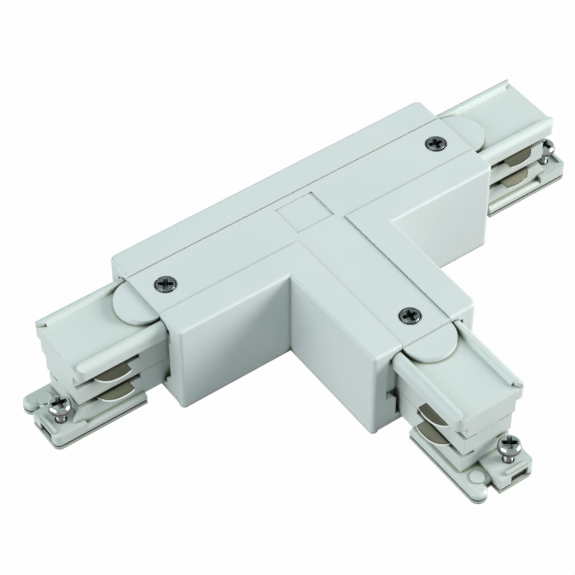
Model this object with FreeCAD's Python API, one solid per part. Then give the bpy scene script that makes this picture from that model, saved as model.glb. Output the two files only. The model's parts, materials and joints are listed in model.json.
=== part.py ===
import FreeCAD, Part
import math
import os

# T connector for a three-circuit lighting track, in millimetres.
# X runs along the through bar, the branch points to -Y, Z is up.
# The origin is the middle of the back face, where the two centre lines cross.
# Each plug head is built once in its own frame: u leaves the housing, v points to
# the clamp side, z is the height over the back face. The head's own origin is in
# the end face of its arm.

V = FreeCAD.Vector

# Housing
arm_width = 36.0
housing_height = 32.0
through_reach = 55.5
branch_reach = 57.0
wall = 2.0
top_wall = 4.6
corner_radius = 2.2
tight_corner_radius = 1.2
top_edge_radius = 0.9
part_gap = 0.1
rod_flats = 16

# Back plate
back_thickness = 1.8
back_rebate = 0.6

# Cover strip, sunk in the top of the housing
strip_half_width = 8.3
strip_sink = 0.4
strip_thickness = 2.3
strip_side_gap = 0.08
tongue_length = 8.6
tongue_step = 1.0
tongue_thickness = 2.0
centre_pad_x = 13.0
centre_pad_y = 11.3
centre_pad_sink = 0.35
window_half_width = 6.0
window_inner = 12.0
window_screw_gap = 5.0

# Cover screws
cover_screw_inset = 7.5
cover_head_radius = 3.2
cover_head_cone = 1.7
cover_head_rise = 0.35
cover_head_bevel = 0.7
cover_shank_radius = 1.4
cover_shank_length = 11.0
cover_hole_gap = 0.2
pilot_gap = 0.05
cross_width = 1.0
cross_length = 4.2
cross_depth = 1.3

# Plug head, outer form
body_half_width = 8.3
body_tip = 28.0
flange_half_width = 11.9
flange_tip = 29.0
flange_start = 0.25
flange_tip_radius = 2.2
flange_corner_bevel = 0.3
crest_half_width = 10.3
crest_width = 1.3
crest_edge = 0.25
crest_foot = 0.7
shoulder_out = 0.8
shoulder_down = 0.4
shoulder_rise = 0.6
shoulder_in = 0.2
rib_end_radius = 2.5
head_drop = 2.0
recess_depth = 1.5
flange_outer_drop = 1.8
flange_depth = 5.3
split_height = 12.0
split_gap = 0.05
lower_body_tip = 27.4
root_underside = 2.6

# Locating pins between the two halves of a head
pin_places = (3.0, 24.0)
pin_side = 2.6
pin_height = 2.4
pin_clearance = 0.1

# Plug head, collars held behind the end wall
collar_half_width = 14.6
collar_thickness = 2.0
lower_collar_half_width = 12.8
lower_collar_step = 0.9

# Contact slots
core_half_width = 3.0
tip_core_half_width = 4.0
tip_core_start = 23.6
slot_start = 7.5
slot_height = 1.9
upper_slot_depth = 11.6
lower_slot_floor = 9.9

# Contact blades
blade_thickness = 0.8
blade_reach = 12.4
blade_shoulder = 11.9
blade_inner = 4.7
blade_length = 10.4
blade_crest_place = 3.0
blade_sweep_place = 5.8
blade_sweep_drop = 0.2
blade_swept_length = 1.3
blade_swept_reach = 10.4
blade_corner_reach = 7.6
upper_blade_start = 12.3
lower_blade_start = 11.8
blade_travel = 1.2
blade_lift = 0.05
peg_u = 4.6
peg_half_length = 1.2
peg_inner = 6.0
peg_outer = 6.7
peg_clearance = 0.1
leaf_thickness = 0.25
leaf_length = 7.0
leaf_foot = 1.2
leaf_gap = 0.02

# Conductor links
link_width = 2.2
link_thickness = 0.6
link_v = 4.7
link_lift = 1.6
link_seat = 0.1
link_riser_inset = 7.0
link_tab_reach = 21.0
channel_clearance = 0.15
tunnel_side_gap = 0.1
tunnel_top_gap = 0.3

# Earth link and clamp
earth_v = 4.6
earth_width = 4.0
earth_level = 4.15
earth_thickness = 0.6
earth_reach = 34.6
clamp_u = 32.1
clamp_v = 4.6
clamp_block_tip = 37.2
clamp_block_left = -2.2
clamp_block_top = 5.3
clamp_lip_start = 35.6
clamp_lip_width = 0.9
clamp_lip_height = 0.9
clamp_lip_left = 0.6
clamp_head_radius = 3.4
clamp_head_height = 2.4
clamp_head_rim = 1.3
clamp_head_bevel = 0.9
clamp_head_low = 10.2
clamp_shank_radius = 1.5
clamp_shank_low = 0.5
clamp_running_gap = 0.06
clamp_hole_gap = 0.25
nut_side = 5.6
nut_reach = 4.3
nut_low = 1.5
nut_height = 1.8
nut_pocket_gap = 0.1
web_thickness = 1.3
web_reach = 2.6
web_height = 4.6

# Base flange under the head
base_half_width = 10.2
base_start = 7.0
base_thickness = 3.8
base_top_bevel = 0.8
base_groove_low = 1.0
base_groove_height = 0.7
base_groove_depth = 0.5
clamp_corner_radius = 2.0
lobe_tip = 36.9
lobe_inner = -5.0
lobe_radius = 2.5
notch_depth = 3.3
boss_radius = 2.2
boss_height = 0.4
boss_u = 31.3
boss_v = -5.6

# Insulating blocks in the housing
insulator_half_width = 12.0
insulator_split_drop = 0.35
rib_thickness = 1.6
rib_places = (15.0, 40.0)
branch_rib_places = (28.0, 44.0)

# End face openings beside each head
opening_reach = 13.4
opening_low = 12.0
opening_bevel = 1.3
clamp_opening_reach = 12.2
clamp_opening_low = 8.6
clamp_opening_bevel = 2.5
opening_top_gap = 1.3
opening_foot_low = 3.6
opening_foot_reach = 9.9
rebate_reach = 12.9
rebate_depth = 0.8
rebate_drop = 3.4
mouth_gap = 0.2

strip_top = housing_height - strip_sink
strip_floor = strip_top - strip_thickness
ceiling = housing_height - top_wall
half = arm_width / 2.0
head_top = housing_height - head_drop
recess_floor = head_top - recess_depth
flange_outer_top = head_top - flange_outer_drop
flange_low = head_top - flange_depth
upper_slot_floor = head_top - upper_slot_depth
insulator_split = upper_slot_floor - insulator_split_drop
collar_outer = -wall - part_gap
collar_inner = collar_outer - collar_thickness
insulator_end = collar_inner - part_gap
lower_collar_outer = collar_outer - lower_collar_step
far = 200.0


def box(low, high):
    """A block from its lowest to its highest corner."""
    size = [b - a for a, b in zip(low, high)]
    return Part.makeBox(size[0], size[1], size[2], V(*low))


def prism(points, low, high):
    """A prism on a plan outline of straight sides."""
    ring = [V(x, y, low) for x, y in points]
    face = Part.Face(Part.makePolygon(ring + ring[:1]))
    return face.extrude(V(0, 0, high - low))


def section_prism(points, start, end):
    """A prism along u on a section given as v, z points."""
    ring = [V(start, v, z) for v, z in points]
    face = Part.Face(Part.makePolygon(ring + ring[:1]))
    return face.extrude(V(end - start, 0, 0))


def cylinder(radius, low, high, x=0.0, y=0.0):
    return Part.makeCylinder(radius, high - low, V(x, y, low))


def rod(radius, low, high, x=0.0, y=0.0):
    """A shank or a hidden hole: a round bar drawn with a few flats."""
    step = 2 * math.pi / rod_flats
    turns = [step * (i + 0.5) for i in range(rod_flats)]
    ring = [(x + radius * math.cos(turn), y + radius * math.sin(turn)) for turn in turns]
    return prism(ring, low, high)


def cone(radius_low, radius_high, low, high, x=0.0, y=0.0):
    return Part.makeCone(radius_low, radius_high, high - low, V(x, y, low))


def edges_where(shape, test):
    return [edge for edge in shape.Edges if test(edge.BoundBox)]


def rounded_prism(corners, low, high):
    """A prism on a plan outline. Each corner is x, y and the radius it is rounded by."""
    shape = prism([(x, y) for x, y, radius in corners], low, high)
    for radius in sorted({radius for x, y, radius in corners if radius > 0}):
        places = [(x, y) for x, y, r in corners if r == radius]

        def upright(bounds):
            near = [abs(bounds.XMin - x) + abs(bounds.YMin - y) < 0.01 for x, y in places]
            return bounds.ZLength > (high - low) * 0.99 and any(near)

        shape = shape.makeFillet(radius, edges_where(shape, upright))
    return shape


def tee(half_width, through, branch, low, high):
    """A T in plan: through bar on X, branch towards -Y."""
    w = half_width
    outline = [
        (-through, w), (-through, -w), (-w, -w), (-w, -branch),
        (w, -branch), (w, -w), (through, -w), (through, w),
    ]
    return prism(outline, low, high)


def tee_run(y, x, width, through, branch, low, high):
    """A flat T of strip: one run on line y, one leg on line x down to the branch end."""
    w = width / 2.0
    run = box((-through, y - w, low), (through, y + w, high))
    leg = box((x - w, -branch, low), (x + w, y + w, high))
    return run.fuse(leg).removeSplitter()


def place(shape, head):
    """Moves a shape from the head's own frame to its arm of the T."""
    name, heading, mirrored, origin = head
    turn = math.degrees(math.atan2(heading.y, heading.x))
    placed = shape
    if mirrored:
        placed = placed.mirror(V(0, 0, 0), V(0, 1, 0))
    placed = placed.copy()
    placed.rotate(V(0, 0, 0), V(0, 0, 1), turn)
    placed.translate(origin)
    return placed


heads = [
    ("left", V(-1, 0, 0), False, V(-through_reach, 0, 0)),
    ("branch", V(0, -1, 0), False, V(0, -branch_reach, 0)),
    ("right", V(1, 0, 0), True, V(through_reach, 0, 0)),
]


def on_arms(shape):
    """The same shape once on each arm of the T."""
    return [place(shape, head) for head in heads]


def cross_recess(top, x=0.0, y=0.0):
    """The cross for the screwdriver."""
    long_side = cross_length / 2.0
    short_side = cross_width / 2.0
    low = top - cross_depth
    one = box((x - long_side, y - short_side, low), (x + long_side, y + short_side, top + 1.0))
    two = box((x - short_side, y - long_side, low), (x + short_side, y + long_side, top + 1.0))
    return one.fuse(two)


def end_opening(side, reach, low, bevel):
    """The way through the end wall beside a head, wide above and narrow at the foot."""
    foot = opening_foot_reach
    inner = body_half_width - mouth_gap
    points = [
        (inner, opening_foot_low), (foot, opening_foot_low), (foot, low - bevel),
        (foot + bevel, low), (reach, low), (reach, flange_low - opening_top_gap),
        (inner, flange_low - opening_top_gap),
    ]
    return section_prism([(side * v, z) for v, z in points], -wall - 1, 1)


def housing_shell():
    r = corner_radius
    tight = tight_corner_radius
    outline = [
        (-through_reach, half, r), (-through_reach, -half, tight), (-half, -half, 0),
        (-half, -branch_reach, tight), (half, -branch_reach, r), (half, -half, 0),
        (through_reach, -half, r), (through_reach, half, r),
    ]
    outer = rounded_prism(outline, 0, housing_height)
    rim = edges_where(outer, lambda b: b.ZMin > housing_height - 0.01)
    outer = outer.makeFillet(top_edge_radius, rim)
    inside = half - wall
    cavity = tee(inside, through_reach - wall, branch_reach - wall, -1, ceiling)
    channel = tee(strip_half_width + strip_side_gap, far, far, strip_floor, far)
    shell = outer.cut(cavity).cut(channel)

    window_outer = through_reach - cover_screw_inset - window_screw_gap
    window_branch = branch_reach - cover_screw_inset - window_screw_gap
    w = window_half_width
    cuts = [
        box((-window_outer, -w, ceiling - 1), (-window_inner, w, strip_floor + 1)),
        box((window_inner, -w, ceiling - 1), (window_outer, w, strip_floor + 1)),
        box((-w, -window_branch, ceiling - 1), (w, -window_inner, strip_floor + 1)),
    ]
    mouth_half = body_half_width + mouth_gap
    mouth = box(
        (-wall - 1, -mouth_half, root_underside - mouth_gap), (1, mouth_half, flange_low)
    )
    plain = end_opening(-1, opening_reach, opening_low, opening_bevel)
    clamp = end_opening(1, clamp_opening_reach, clamp_opening_low, clamp_opening_bevel)
    rebate = box(
        (-rebate_depth, -rebate_reach, flange_low - opening_top_gap - part_gap),
        (1, rebate_reach, housing_height - rebate_drop),
    )
    seat = half - wall
    plate_end = box((-wall - 1, -seat, -1), (1, seat, back_thickness + part_gap))
    cuts += on_arms(mouth.fuse([plain, clamp, rebate, plate_end]))
    hole = rod(
        cover_shank_radius + cover_hole_gap, ceiling - 1, strip_floor + 1, -cover_screw_inset
    )
    cuts += on_arms(hole)
    shell = shell.cut(cuts)

    ribs = []
    low = back_thickness + part_gap
    reach = insulator_half_width + part_gap
    t = rib_thickness / 2.0
    for x in rib_places:
        for side_x in (-x, x):
            ribs.append(box((side_x - t, reach, low), (side_x + t, half - wall / 2, ceiling + 1)))
            if x - t > half:
                ribs.append(box((side_x - t, -half + wall / 2, low), (side_x + t, -reach, ceiling + 1)))
    for y in branch_rib_places:
        ribs.append(box((reach, -y - t, low), (half - wall / 2, -y + t, ceiling + 1)))
        ribs.append(box((-half + wall / 2, -y - t, low), (-reach, -y + t, ceiling + 1)))
    return shell.fuse(ribs).removeSplitter()


def back_plate():
    seat = half - wall - part_gap
    plate = tee(seat, through_reach, branch_reach, 0, back_thickness)
    rim = edges_where(plate, lambda b: b.ZMax < 0.01)
    return plate.makeChamfer(back_rebate, rim)


def cover_strip():
    strip = tee(strip_half_width, through_reach, branch_reach, strip_floor, strip_top)
    tongue_top = strip_top - tongue_step
    tongue_low = tongue_top - tongue_thickness
    w = strip_half_width
    ends = [V(0, -w, 0), V(tongue_length, 0, 0), V(0, w, 0)]
    bow = Part.Arc(ends[0], ends[1], ends[2]).toShape()
    closing = Part.LineSegment(ends[2], ends[0]).toShape()
    tongue = Part.Face(Part.Wire([bow, closing])).extrude(V(0, 0, tongue_thickness))
    tongue.translate(V(0, 0, tongue_low))
    root = box((-1.5, -w, strip_floor), (0.01, w, tongue_top))
    strip = strip.fuse(on_arms(tongue.fuse(root)))
    pad_low = strip_top - centre_pad_sink
    pad = box(
        (-centre_pad_x / 2, -centre_pad_y / 2, pad_low),
        (centre_pad_x / 2, centre_pad_y / 2, strip_top + 1),
    )
    sink = cone(
        cover_shank_radius + cover_hole_gap, cover_head_radius + cover_hole_gap,
        strip_top - cover_head_cone - part_gap, strip_top, -cover_screw_inset,
    )
    hole = rod(
        cover_shank_radius + cover_hole_gap, strip_floor - 1, strip_top, -cover_screw_inset
    )
    return strip.cut([pad] + on_arms(sink.fuse(hole))).removeSplitter()


def cover_screw():
    rim = strip_top
    low = rim - cover_head_cone
    top = rim + cover_head_rise
    head = cone(cover_shank_radius, cover_head_radius, low, rim, -cover_screw_inset)
    cap = cone(
        cover_head_radius, cover_head_radius - cover_head_bevel, rim, top, -cover_screw_inset
    )
    shank = rod(cover_shank_radius, low - cover_shank_length, low, -cover_screw_inset)
    screw = head.fuse([shank, cap]).removeSplitter()
    return screw.cut(cross_recess(top, -cover_screw_inset))


def flange_plate():
    """The top of the head: sunk floor between two ribs, outer shoulders falling away."""
    f = flange_half_width
    crest_out = crest_half_width
    crest_in = crest_out - crest_width
    bevel = flange_corner_bevel
    half_section = [
        (crest_in - crest_foot, recess_floor), (crest_in, head_top - crest_edge),
        (crest_in + crest_edge, head_top), (crest_out, head_top),
        (crest_out + shoulder_out, head_top - shoulder_down),
        (f - shoulder_in, flange_outer_top + shoulder_rise), (f, flange_outer_top),
        (f, flange_low + bevel), (f - bevel, flange_low),
    ]
    mirror_side = [(-v, z) for v, z in reversed(half_section)]
    plate = section_prism(half_section + mirror_side, flange_start, flange_tip)
    r = flange_tip_radius
    corner = box((flange_tip - r, f - r, 0), (flange_tip + 1, f + 1, far))
    corner = corner.cut(cylinder(r, -1, far + 1, flange_tip - r, f - r))
    r = rib_end_radius
    rib_end = box((flange_tip - r, 0, recess_floor), (flange_tip + 1, crest_in + r, far))
    rib_end = rib_end.cut(cylinder(r, -1, far + 1, flange_tip - r, crest_in + r))
    cuts = [corner, rib_end]
    cuts += [cut.mirror(V(0, 0, 0), V(0, 1, 0)) for cut in cuts]
    return plate.cut(cuts)


def head_upper():
    b = body_half_width
    low = split_height + split_gap
    slot_top = upper_slot_floor + slot_height
    block = box((collar_inner, -b, low), (body_tip, b, flange_low))
    over = box((flange_start, -b, slot_top), (flange_tip, b, recess_floor))
    collar = box(
        (collar_inner, -collar_half_width, low),
        (collar_outer, collar_half_width, flange_low - part_gap),
    )
    body = block.fuse([over, collar, flange_plate()])
    cuts = []
    for side in (-1, 1):
        cuts.append(slot(side, upper_slot_floor, slot_top))
        tunnel_roof = upper_slot_floor + link_thickness + tunnel_top_gap
        cuts.append(tunnel(side, upper_slot_floor, tunnel_roof))
    cuts += [pin(u, low - 1, low + pin_height, pin_clearance) for u in pin_places]
    body = body.cut(cuts)
    pegs = [peg(side, upper_blade_start, upper_slot_floor, slot_top) for side in (-1, 1)]
    return body.fuse(pegs).removeSplitter()


def slot(side, floor, roof):
    """A contact slot, open at the side and at the tip, with a thicker core at the tip."""
    outer = body_half_width + 1
    deep = box((slot_start, core_half_width, floor), (tip_core_start, outer, roof))
    tip = box((slot_start, tip_core_half_width, floor), (flange_tip + 1, outer, roof))
    both = deep.fuse(tip)
    return both if side > 0 else both.mirror(V(0, 0, 0), V(0, 1, 0))


def pin(u, low, high, gap):
    """A square pin on the centre line, or its hole when the gap isn't nought."""
    w = pin_side / 2.0 + gap
    return box((u - w, -w, low), (u + w, w, high))


def tunnel(side, floor, roof):
    """The way of a link through the solid root of the head into its slot."""
    w = link_width / 2 + tunnel_side_gap
    y = sorted((side * (link_v - w), side * (link_v + w)))
    return box((collar_inner - 1, y[0], floor), (slot_start + 1, y[1], roof))


def peg(side, start, low, high):
    """A moulded peg that guides a blade by its long hole."""
    y = sorted((side * peg_inner, side * peg_outer))
    u = start + peg_u
    return box((u - peg_half_length, y[0], low - 0.2), (u + peg_half_length, y[1], high))


def base_layer(inset, low, high):
    """One level of the base: lobe on the plain side, notch, clamp corner."""
    w = base_half_width - inset
    notch_floor = lobe_tip - notch_depth - inset
    lobe_edge = lobe_inner - inset
    left = clamp_block_left + inset
    outline = [
        (base_start, w, 0), (base_start, -w, 0),
        (lobe_tip - inset, -w, lobe_radius - inset),
        (lobe_tip - inset, lobe_edge, lobe_radius - inset),
        (notch_floor, lobe_edge, 0), (notch_floor, left, 0),
        (clamp_block_tip - inset, left, 0),
        (clamp_block_tip - inset, w, clamp_corner_radius - inset),
    ]
    return rounded_prism(outline, low, high)


def base_plate():
    groove_top = base_groove_low + base_groove_height
    upper = base_layer(0, groove_top, base_thickness)
    rim = edges_where(upper, lambda b: b.ZMin > base_thickness - 0.01 and b.XMax > base_start + 1)
    upper = upper.makeChamfer(base_top_bevel, rim)
    layers = [
        base_layer(0, 0, base_groove_low),
        base_layer(base_groove_depth, base_groove_low, groove_top),
    ]
    block = rounded_prism([
        (lower_body_tip - 0.5, clamp_block_left, 0), (clamp_block_tip, clamp_block_left, 0),
        (clamp_block_tip, base_half_width, clamp_corner_radius),
        (lower_body_tip - 0.5, base_half_width, 0),
    ], groove_top, clamp_block_top)
    lip = box(
        (clamp_lip_start, clamp_lip_left, clamp_block_top - 0.2),
        (clamp_lip_start + clamp_lip_width, base_half_width - clamp_corner_radius,
         clamp_block_top + clamp_lip_height),
    )
    boss = cylinder(
        boss_radius, base_thickness - 0.2, base_thickness + boss_height, boss_u, boss_v
    )
    return upper.fuse(layers + [block, lip, boss])


def head_lower():
    b = body_half_width
    top = split_height - split_gap
    root = box((collar_inner, -b, root_underside), (slot_start, b, top))
    body = box((slot_start - 0.5, -b, base_thickness - 1), (lower_body_tip, b, top))
    collar = box(
        (collar_inner, -lower_collar_half_width, back_thickness + 2 * part_gap),
        (lower_collar_outer, lower_collar_half_width, top),
    )
    web_v = b - web_thickness
    web_low = clamp_block_top - part_gap
    web = Part.Face(Part.makePolygon([
        V(lower_body_tip - 0.1, web_v, web_low),
        V(lower_body_tip + web_reach, web_v, web_low),
        V(lower_body_tip - 0.1, web_v, web_low + web_height),
        V(lower_body_tip - 0.1, web_v, web_low),
    ])).extrude(V(0, web_thickness, 0))
    shape = base_plate().fuse([root, body, collar, web])
    shape = shape.cut([slot(side, lower_slot_floor, top + 1) for side in (-1, 1)])
    pins = [pin(u, top - 0.5, split_height + pin_height, 0) for u in pin_places]
    pegs = [peg(side, lower_blade_start, lower_slot_floor, top) for side in (-1, 1)]
    shape = shape.fuse(pins + pegs)
    cuts = [tunnel(side, lower_slot_floor, split_height + 1) for side in (-1, 1)]
    e = earth_width / 2.0 + part_gap
    cuts.append(box(
        (collar_inner - 1, earth_v - e, earth_level - part_gap),
        (clamp_u, earth_v + e, earth_level + earth_thickness + part_gap),
    ))
    n = nut_side / 2.0 + nut_pocket_gap
    cuts.append(box(
        (clamp_u - n, clamp_v - n, nut_low - nut_pocket_gap),
        (clamp_block_tip + 1, clamp_v + n, earth_level + earth_thickness + part_gap),
    ))
    clamp_hole = clamp_shank_radius + clamp_hole_gap
    cuts.append(rod(clamp_hole, -1, clamp_block_top + 1, clamp_u, clamp_v))
    return shape.cut(cuts).removeSplitter()


def blade(side, start, floor):
    """A contact blade: square end to the housing, swept corner to the tip."""
    low = floor + link_seat + link_thickness + blade_lift
    end = start + blade_length
    p = [
        V(start, blade_inner, low), V(start, blade_shoulder, low),
        V(start + blade_crest_place, blade_reach, low),
        V(start + blade_sweep_place, blade_reach - blade_sweep_drop, low),
        V(end - blade_swept_length, blade_swept_reach, low),
        V(end, blade_corner_reach, low), V(end, blade_inner, low),
    ]
    edges = [
        Part.LineSegment(p[0], p[1]).toShape(),
        Part.Arc(p[1], p[2], p[3]).toShape(),
        Part.Arc(p[3], p[4], p[5]).toShape(),
        Part.LineSegment(p[5], p[6]).toShape(),
        Part.LineSegment(p[6], p[0]).toShape(),
    ]
    plate = Part.Face(Part.Wire(edges)).extrude(V(0, 0, blade_thickness))
    u = start + peg_u
    reach = peg_half_length + peg_clearance
    hole = box(
        (u - reach, peg_inner - peg_clearance, low - 1),
        (u + reach, peg_outer + peg_clearance + blade_travel, low + blade_thickness + 1),
    )
    plate = plate.cut(hole)
    if side < 0:
        plate = plate.mirror(V(0, 0, 0), V(0, 1, 0))
    return plate


def leaf_spring(side, start, floor):
    """The bent leaf between the core and the back edge of a blade."""
    low = floor + link_seat + link_thickness + blade_lift
    t = leaf_thickness
    v0 = core_half_width + leaf_gap
    v1 = blade_inner - leaf_gap - t
    middle = start + blade_length / 2.0
    foot = leaf_length / 2.0
    knee = foot - leaf_foot
    crest = leaf_foot
    line = [
        (middle - foot, v0), (middle - knee, v0), (middle - crest, v1),
        (middle + crest, v1), (middle + knee, v0), (middle + foot, v0),
    ]
    outline = line + [(u, v + t) for u, v in reversed(line)]
    leaf = prism(outline, low, low + blade_thickness)
    if side < 0:
        leaf = leaf.mirror(V(0, 0, 0), V(0, 1, 0))
    return leaf


def clamp_screw():
    low = clamp_head_low
    rim = low + clamp_head_rim
    top = low + clamp_head_height
    head = cylinder(clamp_head_radius, low, rim, clamp_u, clamp_v)
    cap = cone(clamp_head_radius, clamp_head_radius - clamp_head_bevel, rim, top, clamp_u, clamp_v)
    shank = rod(clamp_shank_radius, clamp_shank_low, low, clamp_u, clamp_v)
    screw = head.fuse([shank, cap]).removeSplitter()
    return screw.cut(cross_recess(top, clamp_u, clamp_v))


def clamp_nut():
    s = nut_side / 2.0
    nut = box(
        (clamp_u - s, clamp_v - s, nut_low), (clamp_u + nut_reach, clamp_v + s, nut_low + nut_height)
    )
    bore = cylinder(clamp_shank_radius + clamp_running_gap, 0, far, clamp_u, clamp_v)
    return nut.cut(bore)


def link_path(y, x, level, lift):
    """One T link: flat T in the housing, tabs at blade level in the three heads."""
    high = level + lift
    reach = through_reach - link_riser_inset
    branch = branch_reach - link_riser_inset
    t = link_thickness
    link = tee_run(y, x, link_width, reach, branch, high, high + t)
    pieces = []
    for head in heads:
        side = side_of(head, y, x)
        v = sorted((side * (link_v - link_width / 2), side * (link_v + link_width / 2)))
        tab = box((-link_riser_inset, v[0], level), (link_tab_reach, v[1], level + t))
        riser = box((-link_riser_inset, v[0], level), (-link_riser_inset + t, v[1], high + t))
        top = box((-link_riser_inset - 0.5, v[0], high), (-link_riser_inset + t, v[1], high + t))
        pieces.append(place(tab.fuse([riser, top]), head))
    return link.fuse(pieces).removeSplitter()


def side_of(head, y, x):
    """On which side of a head a link comes in: 1 at the clamp, -1 across from it."""
    name = head[0]
    if name == "branch":
        return 1 if x > 0 else -1
    return 1 if y < 0 else -1


def link_channel(y, x, level, lift, roof):
    """The groove that a link needs in the insulating block, open to its top."""
    high = level + lift - link_seat
    low = level - link_seat
    width = link_width + 2 * channel_clearance
    run = tee_run(y, x, width, through_reach, branch_reach, high, roof)
    pieces = []
    for head in heads:
        side = side_of(head, y, x)
        v = sorted((side * (link_v - width / 2), side * (link_v + width / 2)))
        pieces.append(place(
            box((-link_riser_inset - channel_clearance, v[0], low), (0, v[1], roof)), head
        ))
    return run.fuse(pieces)


def earth_link():
    """One flat T strip that ends over each clamp nut."""
    low, high = earth_level, earth_level + earth_thickness
    reach = through_reach + earth_reach
    branch = branch_reach + earth_reach
    strip = tee_run(-earth_v, earth_v, earth_width, reach, branch, low, high)
    hole = rod(clamp_shank_radius + clamp_hole_gap, low - 1, high + 1, clamp_u, clamp_v)
    return strip.cut(on_arms(hole))


lower_level = lower_slot_floor + link_seat
upper_level = upper_slot_floor + link_seat
links = {
    "link_lower_front": (-link_v, -link_v, lower_level, 0.0),
    "link_lower_rear": (link_v, link_v, lower_level, link_lift),
    "link_upper_front": (-link_v, -link_v, upper_level, 0.0),
    "link_upper_rear": (link_v, link_v, upper_level, link_lift),
}


def insulator(low, high, names):
    reach = through_reach + insulator_end
    branch = branch_reach + insulator_end
    block = tee(insulator_half_width, reach, branch, low, high)
    channels = [link_channel(*links[name], high + 1) for name in names]
    return block.cut(channels)


def insulator_lower():
    block = insulator(back_thickness + part_gap, insulator_split - part_gap / 2,
                      ("link_lower_front", "link_lower_rear"))
    width = earth_width + 2 * channel_clearance
    groove = tee_run(
        -earth_v, earth_v, width, through_reach, branch_reach,
        0, earth_level + earth_thickness + 0.1,
    )
    return block.cut(groove).removeSplitter()


def insulator_upper():
    block = insulator(insulator_split + part_gap / 2, ceiling - part_gap,
                      ("link_upper_front", "link_upper_rear"))
    pilot = rod(cover_shank_radius + pilot_gap, insulator_split, far, -cover_screw_inset)
    return block.cut(on_arms(pilot)).removeSplitter()


def build():
    pieces = {
        "housing_shell": housing_shell(),
        "back_plate": back_plate(),
        "cover_strip": cover_strip(),
        "insulator_lower": insulator_lower(),
        "insulator_upper": insulator_upper(),
        "earth_link": earth_link(),
    }
    for name, values in links.items():
        pieces[name] = link_path(*values)
    levels = {
        "upper": (upper_blade_start, upper_slot_floor),
        "lower": (lower_blade_start, lower_slot_floor),
    }
    sides = {"clamp_side": 1, "plain_side": -1}
    shared = {
        "cover_screw": cover_screw(),
        "head_upper": head_upper(),
        "head_lower": head_lower(),
        "clamp_screw": clamp_screw(),
        "clamp_nut": clamp_nut(),
    }
    for level, (start, floor) in levels.items():
        for side_name, side in sides.items():
            shared[f"blade_{level}_{side_name}"] = blade(side, start, floor)
            shared[f"spring_{level}_{side_name}"] = leaf_spring(side, start, floor)
    for head in heads:
        for name, shape in shared.items():
            pieces[f"{head[0]}_{name}"] = place(shape, head)
    return pieces


def report(name, shape):
    solids = len(shape.Solids)
    b = shape.BoundBox
    low = f"{b.XMin:.1f} {b.YMin:.1f} {b.ZMin:.1f}"
    high = f"{b.XMax:.1f} {b.YMax:.1f} {b.ZMax:.1f}"
    print(f"{name:34s} solids {solids} valid {shape.isValid()} {low} to {high}")


os.makedirs("parts", exist_ok=True)
for piece_name, piece in build().items():
    report(piece_name, piece)
    piece.exportStep(f"parts/{piece_name}.step")
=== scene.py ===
# %% [markdown]
# # A T connector for lighting track
#
# The object is a white plastic T that joins the ends of three lighting tracks. Its solids
# come from the CAD model, which also says how the pieces move. This script dresses them:
# it gives each piece its finish, turns the screws with real threads and crosses, sets up
# the floor and the lamps, and places the camera where the photographer stood.
#
# Everything is in metres, in the frame of the CAD model. X runs along the through bar,
# the branch points to -Y, and Z is up from the back face.

# %% Load the solids
import bmesh
import bpy
import json
import math
from mathutils import Matrix, Vector


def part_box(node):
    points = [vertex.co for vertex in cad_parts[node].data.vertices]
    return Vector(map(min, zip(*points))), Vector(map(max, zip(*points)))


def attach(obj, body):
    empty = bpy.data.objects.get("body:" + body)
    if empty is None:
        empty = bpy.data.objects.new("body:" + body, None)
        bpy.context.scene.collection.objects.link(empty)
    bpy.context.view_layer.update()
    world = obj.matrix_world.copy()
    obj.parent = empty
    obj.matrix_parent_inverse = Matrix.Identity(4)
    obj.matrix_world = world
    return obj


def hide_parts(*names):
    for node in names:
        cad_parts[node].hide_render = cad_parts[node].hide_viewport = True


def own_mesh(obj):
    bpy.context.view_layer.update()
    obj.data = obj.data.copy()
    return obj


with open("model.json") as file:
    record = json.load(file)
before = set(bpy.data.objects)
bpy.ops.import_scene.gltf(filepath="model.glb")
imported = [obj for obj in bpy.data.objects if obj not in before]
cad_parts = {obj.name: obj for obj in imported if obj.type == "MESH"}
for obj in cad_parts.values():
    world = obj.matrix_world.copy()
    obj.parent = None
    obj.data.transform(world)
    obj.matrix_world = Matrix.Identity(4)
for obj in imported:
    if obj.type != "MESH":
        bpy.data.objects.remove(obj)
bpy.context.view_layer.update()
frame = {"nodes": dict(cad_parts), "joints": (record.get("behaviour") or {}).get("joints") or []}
nodes = frame["nodes"]
arms = ("left", "branch", "right")

# %% [markdown]
# ## Shader maths that reads like Python
#
# A material in Blender is a graph of nodes. Wiring a graph by hand takes many lines, and
# the idea gets lost in them. Here one small class stands for the output of a node. Adding
# or multiplying two of them adds a Math node, so a formula in the script is the same
# formula in the material.

# %% One output of a node, with arithmetic
class Wire:
    """The output of a shader node. Arithmetic on it adds Math nodes."""

    def __init__(self, tree, socket):
        self.tree = tree
        self.socket = socket

    def maths(self, operation, *values, clamp=False):
        node = self.tree.nodes.new("ShaderNodeMath")
        node.operation = operation
        node.use_clamp = clamp
        for place, value in zip(node.inputs, values):
            join(self.tree, value, place)
        return Wire(self.tree, node.outputs[0])

    def __add__(self, other):
        return self.maths("ADD", self, other)

    def __sub__(self, other):
        return self.maths("SUBTRACT", self, other)

    def __rsub__(self, other):
        return self.maths("SUBTRACT", other, self)

    def __mul__(self, other):
        return self.maths("MULTIPLY", self, other)

    def __truediv__(self, other):
        return self.maths("DIVIDE", self, other)

    def __abs__(self):
        return self.maths("ABSOLUTE", self)

    def within(self, low, high):
        """0 below low, 1 above high, and a straight ramp between them."""
        return self.maths("MULTIPLY", self - low, 1.0 / (high - low), clamp=True)

    __radd__ = __add__


def join(tree, value, place):
    """Puts a wire or a plain value on a socket."""
    if isinstance(value, Wire):
        tree.links.new(value.socket, place)
    else:
        place.default_value = value


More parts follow.
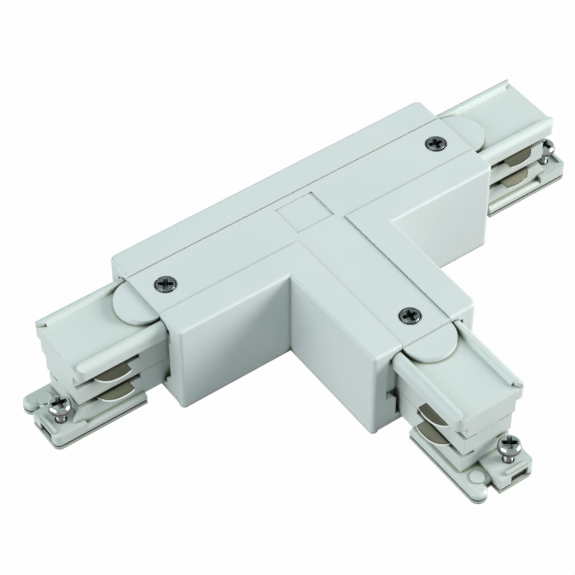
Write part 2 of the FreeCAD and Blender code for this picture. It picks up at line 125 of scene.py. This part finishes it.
# %% [markdown]
# A finish is a material while it is being made. Its `add` method makes any node: the
# node's type, its settings, and then what goes on its sockets. `mix` blends two colours,
# because a Math node would turn them grey.

# %% A material while it is made
class Finish:
    def __init__(self, name, **shader):
        self.material = bpy.data.materials.new(name)
        self.material.use_nodes = True
        self.tree = self.material.node_tree
        self.shader = self.tree.nodes["Principled BSDF"]
        for socket, value in shader.items():
            self.shader.inputs[socket.replace("_", " ")].default_value = value
        self.place = self.add("ShaderNodeTexCoord", out="Object")
        self.normal = self.add("ShaderNodeTexCoord", out="Normal")

    def add(self, kind, settings=None, values=None, out=0):
        node = self.tree.nodes.new(kind)
        for name, value in (settings or {}).items():
            setattr(node, name, value)
        for name, value in (values or {}).items():
            join(self.tree, value, node.inputs[name])
        return Wire(self.tree, node.outputs[out])

    def part(self, vector, axis):
        return self.add("ShaderNodeSeparateXYZ", values={"Vector": vector}, out=axis)

    def noise(self, scale, detail=2.0, rough=0.5):
        values = {"Vector": self.place, "Scale": scale, "Detail": detail, "Roughness": rough}
        return self.add("ShaderNodeTexNoise", values=values, out="Fac")

    def mix(self, share, first, second):
        """The first colour where share is 0, the second where it is 1."""
        node = self.tree.nodes.new("ShaderNodeMix")
        node.data_type = "RGBA"
        join(self.tree, share, node.inputs[0])
        join(self.tree, first, node.inputs[6])
        join(self.tree, second, node.inputs[7])
        return Wire(self.tree, node.outputs[2])

    def crevice(self, distance):
        """1 in a tight inner corner, 0 in the open."""
        open_sky = self.add(
            "ShaderNodeAmbientOcclusion", {"samples": 12}, {"Distance": distance}, out="AO"
        )
        return 1.0 - open_sky

    def near_edge(self, radius):
        """1 along the edges of a piece, 0 further than the radius from them."""
        rolled = self.soft_edges(radius)
        true = self.add("ShaderNodeNewGeometry", out="Normal")
        agree = self.add(
            "ShaderNodeVectorMath", {"operation": "DOT_PRODUCT"}, {0: rolled, 1: true}, "Value"
        )
        return (1.0 - agree).within(0.003, 0.04)

    def bump(self, height, strength, distance, normal=None):
        values = {"Height": height, "Strength": strength, "Distance": distance}
        if normal is not None:
            values["Normal"] = normal
        return self.add("ShaderNodeBump", values=values, out="Normal")

    def soft_edges(self, radius):
        """A normal that rolls over the edges, as on a moulded or tumbled piece."""
        return self.add("ShaderNodeBevel", {"samples": 6}, {"Radius": radius}, out="Normal")

    def drive(self, **sockets):
        for socket, value in sockets.items():
            join(self.tree, value, self.shader.inputs[socket.replace("_", " ")])
        return self.material


def colour(red, green, blue):
    """A colour as a screen shows it, 0 to 255, turned into the light values of a shader."""
    def light(level):
        share = level / 255.0
        return share / 12.92 if share <= 0.04045 else ((share + 0.055) / 1.055) ** 2.4

    return (light(red), light(green), light(blue), 1.0)


# %% [markdown]
# ## White moulded plastic
#
# The housing and the plug heads are injection moulded in a cool white. Such plastic looks
# flat at first, but three things give it away: a very fine grain from the spark-eroded
# tool, a slow drift of tone over each face, and inner corners that turn a little green
# and yellow, because light bounces there several times. That tint is painted shade in the
# base colour, and the tightest gaps get painted shadow, nearly black. The grain goes into
# a Bump node; the drift, the painted corner shade and the painted gap shadow go into the
# base colour.

# %% Plastic
# Painted shadow: the colour of the tightest gaps, where shade falls.
gap_shadow_tone = colour(50, 54, 44)
drift_scale, flow_scale, speckle_scale = 38.0, 240.0, 2600.0
corner_reach = 0.003
moulded_edge = 0.00028


def moulded_plastic(name, open_tone, drift_tone, corner_shade_tone, grain, rough):
    finish = Finish(name, Roughness=rough, Specular_IOR_Level=0.42)
    drift = finish.noise(drift_scale)
    speckle = finish.noise(speckle_scale, 3.0, 0.6)
    flow = finish.noise(flow_scale)
    tone = finish.mix(drift.within(0.35, 0.65), open_tone, drift_tone)
    # Painted shade: the crevice mask tints inner corners green-yellow, and painted shadow makes
    # the tightest gaps nearly black.
    shut_in = finish.crevice(corner_reach)
    tone = finish.mix(shut_in.within(0.24, 0.56) * 0.9, tone, corner_shade_tone)
    tone = finish.mix(shut_in.within(0.42, 0.66), tone, gap_shadow_tone)
    rolled = finish.soft_edges(moulded_edge)
    surface = finish.bump(flow, 0.10, 0.00012, rolled)
    surface = finish.bump(speckle, grain, 0.00004, surface)
    return finish.drive(
        Base_Color=tone, Roughness=rough - 0.05 + speckle * 0.1, Normal=surface
    )


# The third colour of each plastic is the painted shade of its inner corners.
housing_white = moulded_plastic(
    "housing plastic", colour(215, 223, 221), colour(212, 221, 220),
    colour(192, 201, 188), 0.16, 0.46,
)
head_white = moulded_plastic(
    "head plastic", colour(214, 223, 219), colour(211, 220, 216),
    colour(146, 154, 112), 0.12, 0.40,
)
inner_grey = moulded_plastic(
    "insulator plastic", colour(196, 199, 194), colour(190, 194, 190),
    colour(160, 164, 150), 0.2, 0.55,
)

# %% [markdown]
# ## Metal
#
# The contact blades are stamped from bronze sheet and plated with nickel. Their flat
# faces are dull and brownish, with fine rolling marks. The punch burnishes the upper part
# of their cut edges and tears the lower part; here the upper part gets a painted
# highlight and the lower part a painted shadow. The surface normal tells faces from
# edges: on a flat face it points up or down. A dark line of painted shade follows the
# edge on the flat face, where the punch has rolled it over. The Bevel node finds it: near
# an edge, a bevelled normal differs from the true one. Deep in the head the face is
# painted darker, as painted shade.

# %% Contact blades
blade_low, blade_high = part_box("left_blade_lower_plain_side")
level_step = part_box("left_blade_upper_plain_side")[0].z - blade_low.z
rolling_scale, tarnish_scale = 5200.0, 75.0
edge_shade_width = 0.0006
punched_edge = 0.0001
head_depth = 0.005


def blade_metal():
    finish = Finish("contact bronze", Metallic=1.0, Roughness=0.3)
    rolling = finish.noise(rolling_scale, 2.0, 0.6)
    tarnish = finish.noise(tarnish_scale, 1.0)
    flat = abs(finish.part(finish.normal, "Z")).within(0.4, 0.8)
    face = finish.mix(tarnish.within(0.3, 0.7), colour(200, 197, 176), colour(172, 169, 147))
    # Painted shade: deep in the head the face is darker.
    inner_shade = finish.crevice(head_depth).within(0.12, 0.5)
    face = finish.mix(inner_shade * 0.75, face, colour(104, 102, 84))
    # Painted shade: a dark line along the edge on the flat face.
    face = finish.mix(finish.near_edge(edge_shade_width) * 0.9, face, colour(36, 36, 30))
    # The blades sit at two levels, and the modulo gives the height within one of them.
    height = (finish.part(finish.place, "Z") - blade_low.z).maths("MODULO", level_step)
    # Painted highlight on the upper part of each cut edge, painted shadow on the lower part.
    burnished_highlight = (height / (blade_high.z - blade_low.z)).within(0.35, 0.5)
    edge = finish.mix(burnished_highlight, colour(96, 98, 88), colour(220, 225, 218))
    tone = finish.mix(flat, edge, face)
    surface = finish.bump(rolling, 0.08, 0.00002, finish.soft_edges(punched_edge))
    return finish.drive(
        Base_Color=tone, Roughness=0.22 + flat * (0.1 + rolling * 0.08), Normal=surface
    )


bronze = blade_metal()

# %% [markdown]
# The screws are steel. The cover screws are dark from their plating, the clamp screws are
# bright zinc. Their cross recesses are painted nearly black, as painted shade; the crevice
# mask finds the recess by itself. Steep faces mirror the dark side of a room, so they get
# the same dark tone, a painted reflection. On the edges a near white is painted, partly
# plating rubbed bright and partly painted glints.

# %% Screws, springs and conductors
wear_scale, mark_scale = 900.0, 4200.0
recess_reach = 0.0016
wear_and_glint_edge = 0.00026
plated_edge = 0.00012


def plated_metal(name, open_tone, worn_tone, shade_and_reflection_tone, rough, wear_and_glint=0.0):
    finish = Finish(name, Metallic=1.0, Roughness=rough)
    wear = finish.noise(wear_scale, 3.0, 0.6)
    marks = finish.noise(mark_scale)
    tone = finish.mix(wear.within(0.4, 0.7), open_tone, worn_tone)
    # Painted reflection: steep faces take the dark tone, as if they mirrored a dark room.
    upright = 1.0 - abs(finish.part(finish.normal, "Z")).within(0.1, 0.5)
    tone = finish.mix(upright * 0.88, tone, shade_and_reflection_tone)
    # Partly wear, partly painted glints: the edges are lifted to near white.
    tone = finish.mix(finish.near_edge(wear_and_glint_edge) * wear_and_glint, tone, colour(236, 242, 240))
    # Painted shade: the cross recess goes nearly black.
    recess_shade = finish.crevice(recess_reach).within(0.16, 0.5)
    tone = finish.mix(recess_shade, tone, shade_and_reflection_tone)
    surface = finish.bump(marks, 0.14, 0.00002, finish.soft_edges(plated_edge))
    return finish.drive(
        Base_Color=tone, Roughness=rough + wear * 0.1 + recess_shade * 0.2,
        Metallic=1.0 - recess_shade * 0.5, Normal=surface,
    )


# The third colour of each metal is its painted shade and painted reflection.
dark_steel = plated_metal(
    "dark plated steel", colour(150, 156, 155), colour(104, 110, 109), colour(8, 8, 8), 0.16,
    wear_and_glint=0.85,
)
bright_steel = plated_metal(
    "bright zinc steel", colour(222, 227, 222), colour(186, 192, 188), colour(8, 8, 8), 0.14,
    wear_and_glint=0.5,
)
# Painted shade: the clamp nut sits in the shade of the clamp block, so its steel is painted
# dark, and the wear noise gives it painted glints.
nut_steel = plated_metal(
    "shaded nut steel", colour(112, 115, 110), colour(44, 46, 42), colour(10, 10, 10), 0.2, wear_and_glint=0.8
)
spring_steel = plated_metal(
    "spring steel", colour(170, 172, 176), colour(140, 144, 150), colour(50, 50, 54), 0.3
)
copper = plated_metal(
    "bare copper", colour(214, 150, 116), colour(186, 124, 92), colour(96, 58, 40), 0.32
)

# %% [markdown]
# Each solid carries the name of its piece, so a short list of words is enough to hand out
# the finishes.

# %% Hand out the finishes
finish_of = {
    "insulator": inner_grey, "link": copper, "cover_screw": dark_steel,
    "blade": bronze, "spring": spring_steel, "clamp_screw": bright_steel,
    "clamp_nut": nut_steel, "head_": head_white,
    "housing": housing_white, "back_plate": housing_white, "cover_strip": housing_white,
}
for name, solid in nodes.items():
    word = next(word for word in finish_of if word in name)
    for place in solid.material_slots:
        place.material = finish_of[word]
print("finishes:", len(set(finish_of.values())))

# %% [markdown]
# ## Screws
#
# The solids show the screws with simple bevelled heads and smooth shanks. Real heads are
# turned on a lathe and the cross is pressed in, so the script does the same: it turns a
# profile round an axis, then cuts two tapered bars out of it. The cross of each screw
# points its own way, as nobody lines screws up.
#
# The clamp screws have a thread, which shows between the head and the clamp block. A
# thread is a small ridge swept along a helix. Geometry Nodes have both: the Spiral curve
# gives the helix, and Curve to Mesh sweeps the ridge along it.

# %% A node tree that sweeps a thread
thread_radius = 0.0015
thread_pitch = 0.0005
thread_depth = 0.00026
thread_low = 0.0006
thread_high = 0.0101


def thread_tree():
    tree = bpy.data.node_groups.new("thread", "GeometryNodeTree")
    face = tree.interface
    face.new_socket("Geometry", in_out="OUTPUT", socket_type="NodeSocketGeometry")
    sizes = {}
    for label in ("Radius", "Length", "Turns", "Depth"):
        sizes[label] = face.new_socket(label, in_out="INPUT", socket_type="NodeSocketFloat")
    sizes["Metal"] = face.new_socket(
        "Metal", in_out="INPUT", socket_type="NodeSocketMaterial"
    )
    entry = tree.nodes.new("NodeGroupInput")
    way_out = tree.nodes.new("NodeGroupOutput")
    spiral = tree.nodes.new("GeometryNodeCurveSpiral")
    spiral.inputs["Resolution"].default_value = 20
    profile = tree.nodes.new("GeometryNodeCurvePrimitiveCircle")
    profile.inputs["Resolution"].default_value = 4
    sweep = tree.nodes.new("GeometryNodeCurveToMesh")
    sweep.inputs["Fill Caps"].default_value = True
    real = tree.nodes.new("GeometryNodeRealizeInstances")
    paint = tree.nodes.new("GeometryNodeSetMaterial")
    link = tree.links.new
    link(entry.outputs["Radius"], spiral.inputs["Start Radius"])
    link(entry.outputs["Radius"], spiral.inputs["End Radius"])
    link(entry.outputs["Length"], spiral.inputs["Height"])
    link(entry.outputs["Turns"], spiral.inputs["Rotations"])
    link(entry.outputs["Depth"], profile.inputs["Radius"])
    link(spiral.outputs[0], sweep.inputs["Curve"])
    link(profile.outputs[0], sweep.inputs["Profile Curve"])
    link(sweep.outputs[0], real.inputs[0])
    link(real.outputs[0], paint.inputs["Geometry"])
    link(entry.outputs["Metal"], paint.inputs["Material"])
    link(paint.outputs[0], way_out.inputs[0])
    return tree, {label: socket.identifier for label, socket in sizes.items()}


def plain_mesh(tree, values, name):
    """Runs a node tree once and keeps its result as an ordinary mesh."""
    holder = bpy.data.objects.new(name + "_tree", bpy.data.meshes.new(name + "_empty"))
    bpy.context.scene.collection.objects.link(holder)
    modifier = holder.modifiers.new("nodes", "NODES")
    modifier.node_group = tree
    for socket, value in values.items():
        modifier[socket] = value
    graph = bpy.context.evaluated_depsgraph_get()
    mesh = bpy.data.meshes.new_from_object(holder.evaluated_get(graph), depsgraph=graph)
    mesh.name = name
    bpy.data.objects.remove(holder)
    return mesh


thread_nodes, thread_inputs = thread_tree()
thread_length = thread_high - thread_low
thread_sizes = {
    "Radius": thread_radius - thread_depth, "Length": thread_length,
    "Turns": thread_length / thread_pitch, "Depth": thread_depth, "Metal": bright_steel,
}
thread_values = {thread_inputs[label]: value for label, value in thread_sizes.items()}
helix = plain_mesh(thread_nodes, thread_values, "helix")
print("thread:", len(helix.polygons), "faces")

# %% [markdown]
# The lathe takes a profile of radius and height, from the axis at the bottom to the axis
# at the top, and turns it. The new screw has to be one mesh at the origin with its place
# in its corners, as the solids are, because the export lays every object there.

# %% Turning, and pressing the cross
turning_steps = 72
cross_length = 0.0048
cross_width = 0.0015
cross_depth = 0.0018
cross_tip_length = 0.5
cross_tip_width = 0.7
cross_overshoot = 0.0001


def turned(profile, name):
    """A solid of revolution from a profile of radius and height."""
    mesh = bpy.data.meshes.new(name)
    work = bmesh.new()
    rings = []
    for radius, height in profile:
        steps = turning_steps if radius > 0 else 1
        angles = [2 * math.pi * i / steps for i in range(steps)]
        places = [(radius * math.cos(a), radius * math.sin(a), height) for a in angles]
        rings.append([work.verts.new(place) for place in places])
    for ring, above in zip(rings, rings[1:]):
        for i in range(turning_steps):
            loop = [ring[i % len(ring)], ring[(i + 1) % len(ring)]]
            loop += [above[(i + 1) % len(above)], above[i % len(above)]]
            work.faces.new(list(dict.fromkeys(loop)))
    work.to_mesh(mesh)
    work.free()
    return mesh


def tapered_bar(length, width, low, high):
    """A bar that narrows downwards, as the blade of a cross screwdriver does."""
    corners = []
    for height, long, wide in ((low, cross_tip_length, cross_tip_width), (high, 1.0, 1.0)):
        x, y = length / 2 * long, width / 2 * wide
        corners += [(-x, -y, height), (x, -y, height), (x, y, height), (-x, y, height)]
    sides = [(0, 1, 5, 4), (1, 2, 6, 5), (2, 3, 7, 6), (3, 0, 4, 7), (3, 2, 1, 0), (4, 5, 6, 7)]
    mesh = bpy.data.meshes.new("bar")
    mesh.from_pydata(corners, [], sides)
    return mesh


def with_cross(mesh, top, turn):
    """Cuts the cross out of a head by two Boolean modifiers, and keeps the result."""
    head = bpy.data.objects.new("head", mesh)
    bars = []
    for quarter in (0, math.pi / 2):
        bar = tapered_bar(cross_length, cross_width, top - cross_depth, top + cross_overshoot)
        bar.transform(Matrix.Rotation(turn + quarter, 4, "Z"))
        bars.append(bpy.data.objects.new("bar", bar))
    for thing in [head] + bars:
        bpy.context.scene.collection.objects.link(thing)
    for bar in bars:
        cut = head.modifiers.new("cross", "BOOLEAN")
        cut.object = bar
        cut.operation = "DIFFERENCE"
        cut.solver = "EXACT"
    graph = bpy.context.evaluated_depsgraph_get()
    result = bpy.data.meshes.new_from_object(head.evaluated_get(graph), depsgraph=graph)
    for thing in [head] + bars:
        bpy.data.objects.remove(thing)
    return result


# %% [markdown]
# The two kinds of screw differ in their profiles only. A cover screw is countersunk, and a
# narrow groove runs round its low dome, which the photo shows as a dark ring. A clamp
# screw has a round pan head. Their outer sizes are those of the solids.

# %% The screws
cover_shank, cover_cone, cover_rise = 0.0014, 0.0017, 0.00035
ring_outer, ring_wall, ring_inner, ring_depth = 0.00008, 0.0002, 0.0004, 0.0003
# Each pair is the step in from the rim and the rise above it, or the drop below the top.
low_dome = ((0.0005, 0.0001), (0.0007, 0.00022))
flat_start = 0.0011
clamp_head_height = 0.0024
clamp_under_bevel, clamp_side = 0.0001, 0.0009
pan_dome = ((0.00018, 0.00075), (0.0006, 0.00028), (0.0012, 0.00005))


def cover_profile(radius, low, top):
    rim = top - cover_rise
    shank = [(0, low), (cover_shank, low), (cover_shank, rim - cover_cone), (radius, rim)]
    ring = [
        (radius - ring_outer, rim), (radius - ring_wall, rim - ring_depth),
        (radius - ring_inner, rim - ring_depth),
    ]
    dome = [(radius - inset, rim + rise) for inset, rise in low_dome]
    return shank + ring + dome + [(radius - flat_start, top), (0, top)]


def clamp_profile(radius, low, top):
    under = top - clamp_head_height
    core = thread_radius - 2 * thread_depth
    shank = [(0, low), (core, low), (core, under)]
    side = [
        (radius - clamp_under_bevel, under), (radius, under + clamp_under_bevel),
        (radius, under + clamp_side),
    ]
    dome = [(radius - inset, top - drop) for inset, drop in pan_dome]
    return shank + side + dome + [(0, top)]


def dressed_screw(name, profile, metal, turn, thread=None):
    low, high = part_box(name)
    middle = (low + high) / 2
    radius = (high.x - low.x) / 2
    mesh = with_cross(turned(profile(radius, low.z, high.z), name), high.z, math.radians(turn))
    if thread:
        work = bmesh.new()
        work.from_mesh(mesh)
        raised = thread.copy()
        raised.transform(Matrix.Translation((0, 0, thread_low)))
        work.from_mesh(raised)
        work.to_mesh(mesh)
        work.free()
    mesh.transform(Matrix.Translation((middle.x, middle.y, 0)))
    mesh.materials.clear()
    mesh.materials.append(metal)
    screw = bpy.data.objects.new(name + "_turned", mesh)
    bpy.context.scene.collection.objects.link(screw)
    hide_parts(name)
    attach(screw, name if thread else "connector")


# Where the cross of each screw points, in degrees.
cover_turns = {"left": 54, "branch": 78, "right": 75}
clamp_turns = {"left": 76, "branch": 54, "right": 14}
for arm in arms:
    dressed_screw(f"{arm}_cover_screw", cover_profile, dark_steel, cover_turns[arm])
    dressed_screw(
        f"{arm}_clamp_screw", clamp_profile, bright_steel, clamp_turns[arm], helix
    )

# %% [markdown]
# ## Leaf springs
#
# Behind each contact blade sits a bowed leaf spring. When the track pushes the blade in,
# the leaf goes flat. A rigid solid can't do that. A copy of each spring, with its doubled
# corners merged, takes its place and hangs on the connector.

# %% Leaf springs
same_corner = 1e-7


def merged_copy(solid, name):
    """A copy of a solid's mesh with its doubled corners merged."""
    work = bmesh.new()
    work.from_mesh(solid.data)
    bmesh.ops.remove_doubles(work, verts=work.verts, dist=same_corner)
    mesh = bpy.data.meshes.new(name)
    work.to_mesh(mesh)
    work.free()
    return mesh


def leaf_for(blade_joint):
    spring_name = blade_joint["child"].replace("blade", "spring")
    mesh = merged_copy(nodes[spring_name], spring_name + "_leaf")
    mesh.materials.clear()
    mesh.materials.append(spring_steel)
    leaf = bpy.data.objects.new(spring_name + "_leaf", mesh)
    bpy.context.scene.collection.objects.link(leaf)
    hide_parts(spring_name)
    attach(leaf, "connector")
    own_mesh(leaf)


for joint in frame["joints"]:
    if joint["name"].endswith("_push"):
        leaf_for(joint)

# %% [markdown]
# ## Floor, lamps and camera
#
# The photo is a cut-out on white. A floor that sends plain white to the camera does that,
# and still catches a little of the object's shadow. Mirrors and metal see the same white
# floor. To everything else the floor is dark grey, so the faces get darker towards their
# lower edges. The world gives a soft light, slightly blue-green, from all sides.
#
# Three lamps give the faces their order of brightness. The key stands low on the right, so
# the branch shades the left arm. The fill, on the left, lights the side of the branch. A
# weak one from above and behind evens out the tops.

# %% Floor and sky
floor_half = 3.0
floor_grey = 0.2
floor_whiteness = 0.985


def seen_directly(finish):
    path = finish.tree.nodes.new("ShaderNodeLightPath")
    camera = Wire(finish.tree, path.outputs["Is Camera Ray"])
    glossy = Wire(finish.tree, path.outputs["Is Glossy Ray"])
    through = Wire(finish.tree, path.outputs["Is Transmission Ray"])
    return camera.maths("MAXIMUM", camera, glossy.maths("MAXIMUM", glossy, through))


def floor_material():
    finish = Finish("floor", Roughness=1.0)
    finish.shader.inputs["Base Color"].default_value = (floor_grey,) * 3 + (1.0,)
    glow = finish.tree.nodes.new("ShaderNodeEmission")
    glow.inputs["Strength"].default_value = 1.0
    blend = finish.tree.nodes.new("ShaderNodeMixShader")
    join(finish.tree, seen_directly(finish) * floor_whiteness, blend.inputs[0])
    finish.tree.links.new(finish.shader.outputs[0], blend.inputs[1])
    finish.tree.links.new(glow.outputs[0], blend.inputs[2])
    out = finish.tree.nodes["Material Output"]
    finish.tree.links.new(blend.outputs[0], out.inputs["Surface"])
    return finish.material


floor_mesh = bpy.data.meshes.new("floor")
floor_corners = [
    (-floor_half, -floor_half, 0), (floor_half, -floor_half, 0),
    (floor_half, floor_half, 0), (-floor_half, floor_half, 0),
]
floor_mesh.from_pydata(floor_corners, [], [(0, 1, 2, 3)])
floor_mesh.materials.append(floor_material())
floor = bpy.data.objects.new("floor", floor_mesh)
bpy.context.scene.collection.objects.link(floor)

world = bpy.data.worlds.new("studio")
world.use_nodes = True
background = world.node_tree.nodes["Background"]
background.inputs["Color"].default_value = (0.82, 1.0, 1.0, 1.0)
background.inputs["Strength"].default_value = 0.45
bpy.context.scene.world = world

# %% Lamps
def lamp(name, place, power, size, tint=(1.0, 1.0, 1.0)):
    data = bpy.data.lights.new(name, "AREA")
    data.shape = "DISK"
    data.size = size
    data.energy = power
    data.color = tint
    light = bpy.data.objects.new(name, data)
    light.location = place
    light.rotation_mode = "QUATERNION"
    light.rotation_quaternion = Vector(place).to_track_quat("Z", "Y")
    bpy.context.scene.collection.objects.link(light)


lamp("key", (1.12, -0.78, 0.62), 22.0, 0.9, (1.0, 0.95, 0.945))
lamp("fill", (-1.2, 0.05, 0.42), 10.6, 1.2, (0.97, 0.97, 1.0))
lamp("back", (0.0, 0.5, 1.4), 1.0, 0.8)

# %% [markdown]
# ## Camera
#
# The camera was found by fitting the corners of the housing to the photo: it looks down
# at about 47 degrees, from the front left, with a long lens. Its three directions follow
# from the two angles and a slight roll.

# %% Camera
look_azimuth = math.radians(-35.47)
look_elevation = math.radians(47.46)
look_roll = math.radians(-0.40)
look_at = Vector((0.0, -0.020, 0.016))
aside = Vector((-0.01663, 0.000809, 0.68097))
lens = 148.25

back = Vector((
    math.sin(look_azimuth) * math.cos(look_elevation),
    -math.cos(look_azimuth) * math.cos(look_elevation),
    math.sin(look_elevation),
))
level_right = Vector((math.cos(look_azimuth), math.sin(look_azimuth), 0.0))
level_up = back.cross(level_right)
right = level_right * math.cos(look_roll) + level_up * math.sin(look_roll)
up = level_up * math.cos(look_roll) - level_right * math.sin(look_roll)
eye = look_at + right * aside.x + up * aside.y + back * aside.z

view = bpy.data.cameras.new("camera")
view.lens = lens
view.sensor_width = 36.0
view.clip_start = 0.01
camera = bpy.data.objects.new("camera", view)
turn = Matrix((right, up, back)).transposed().to_4x4()
camera.matrix_world = Matrix.Translation(eye) @ turn
bpy.context.scene.collection.objects.link(camera)
bpy.context.scene.camera = camera
bpy.context.scene.view_settings.view_transform = "Standard"
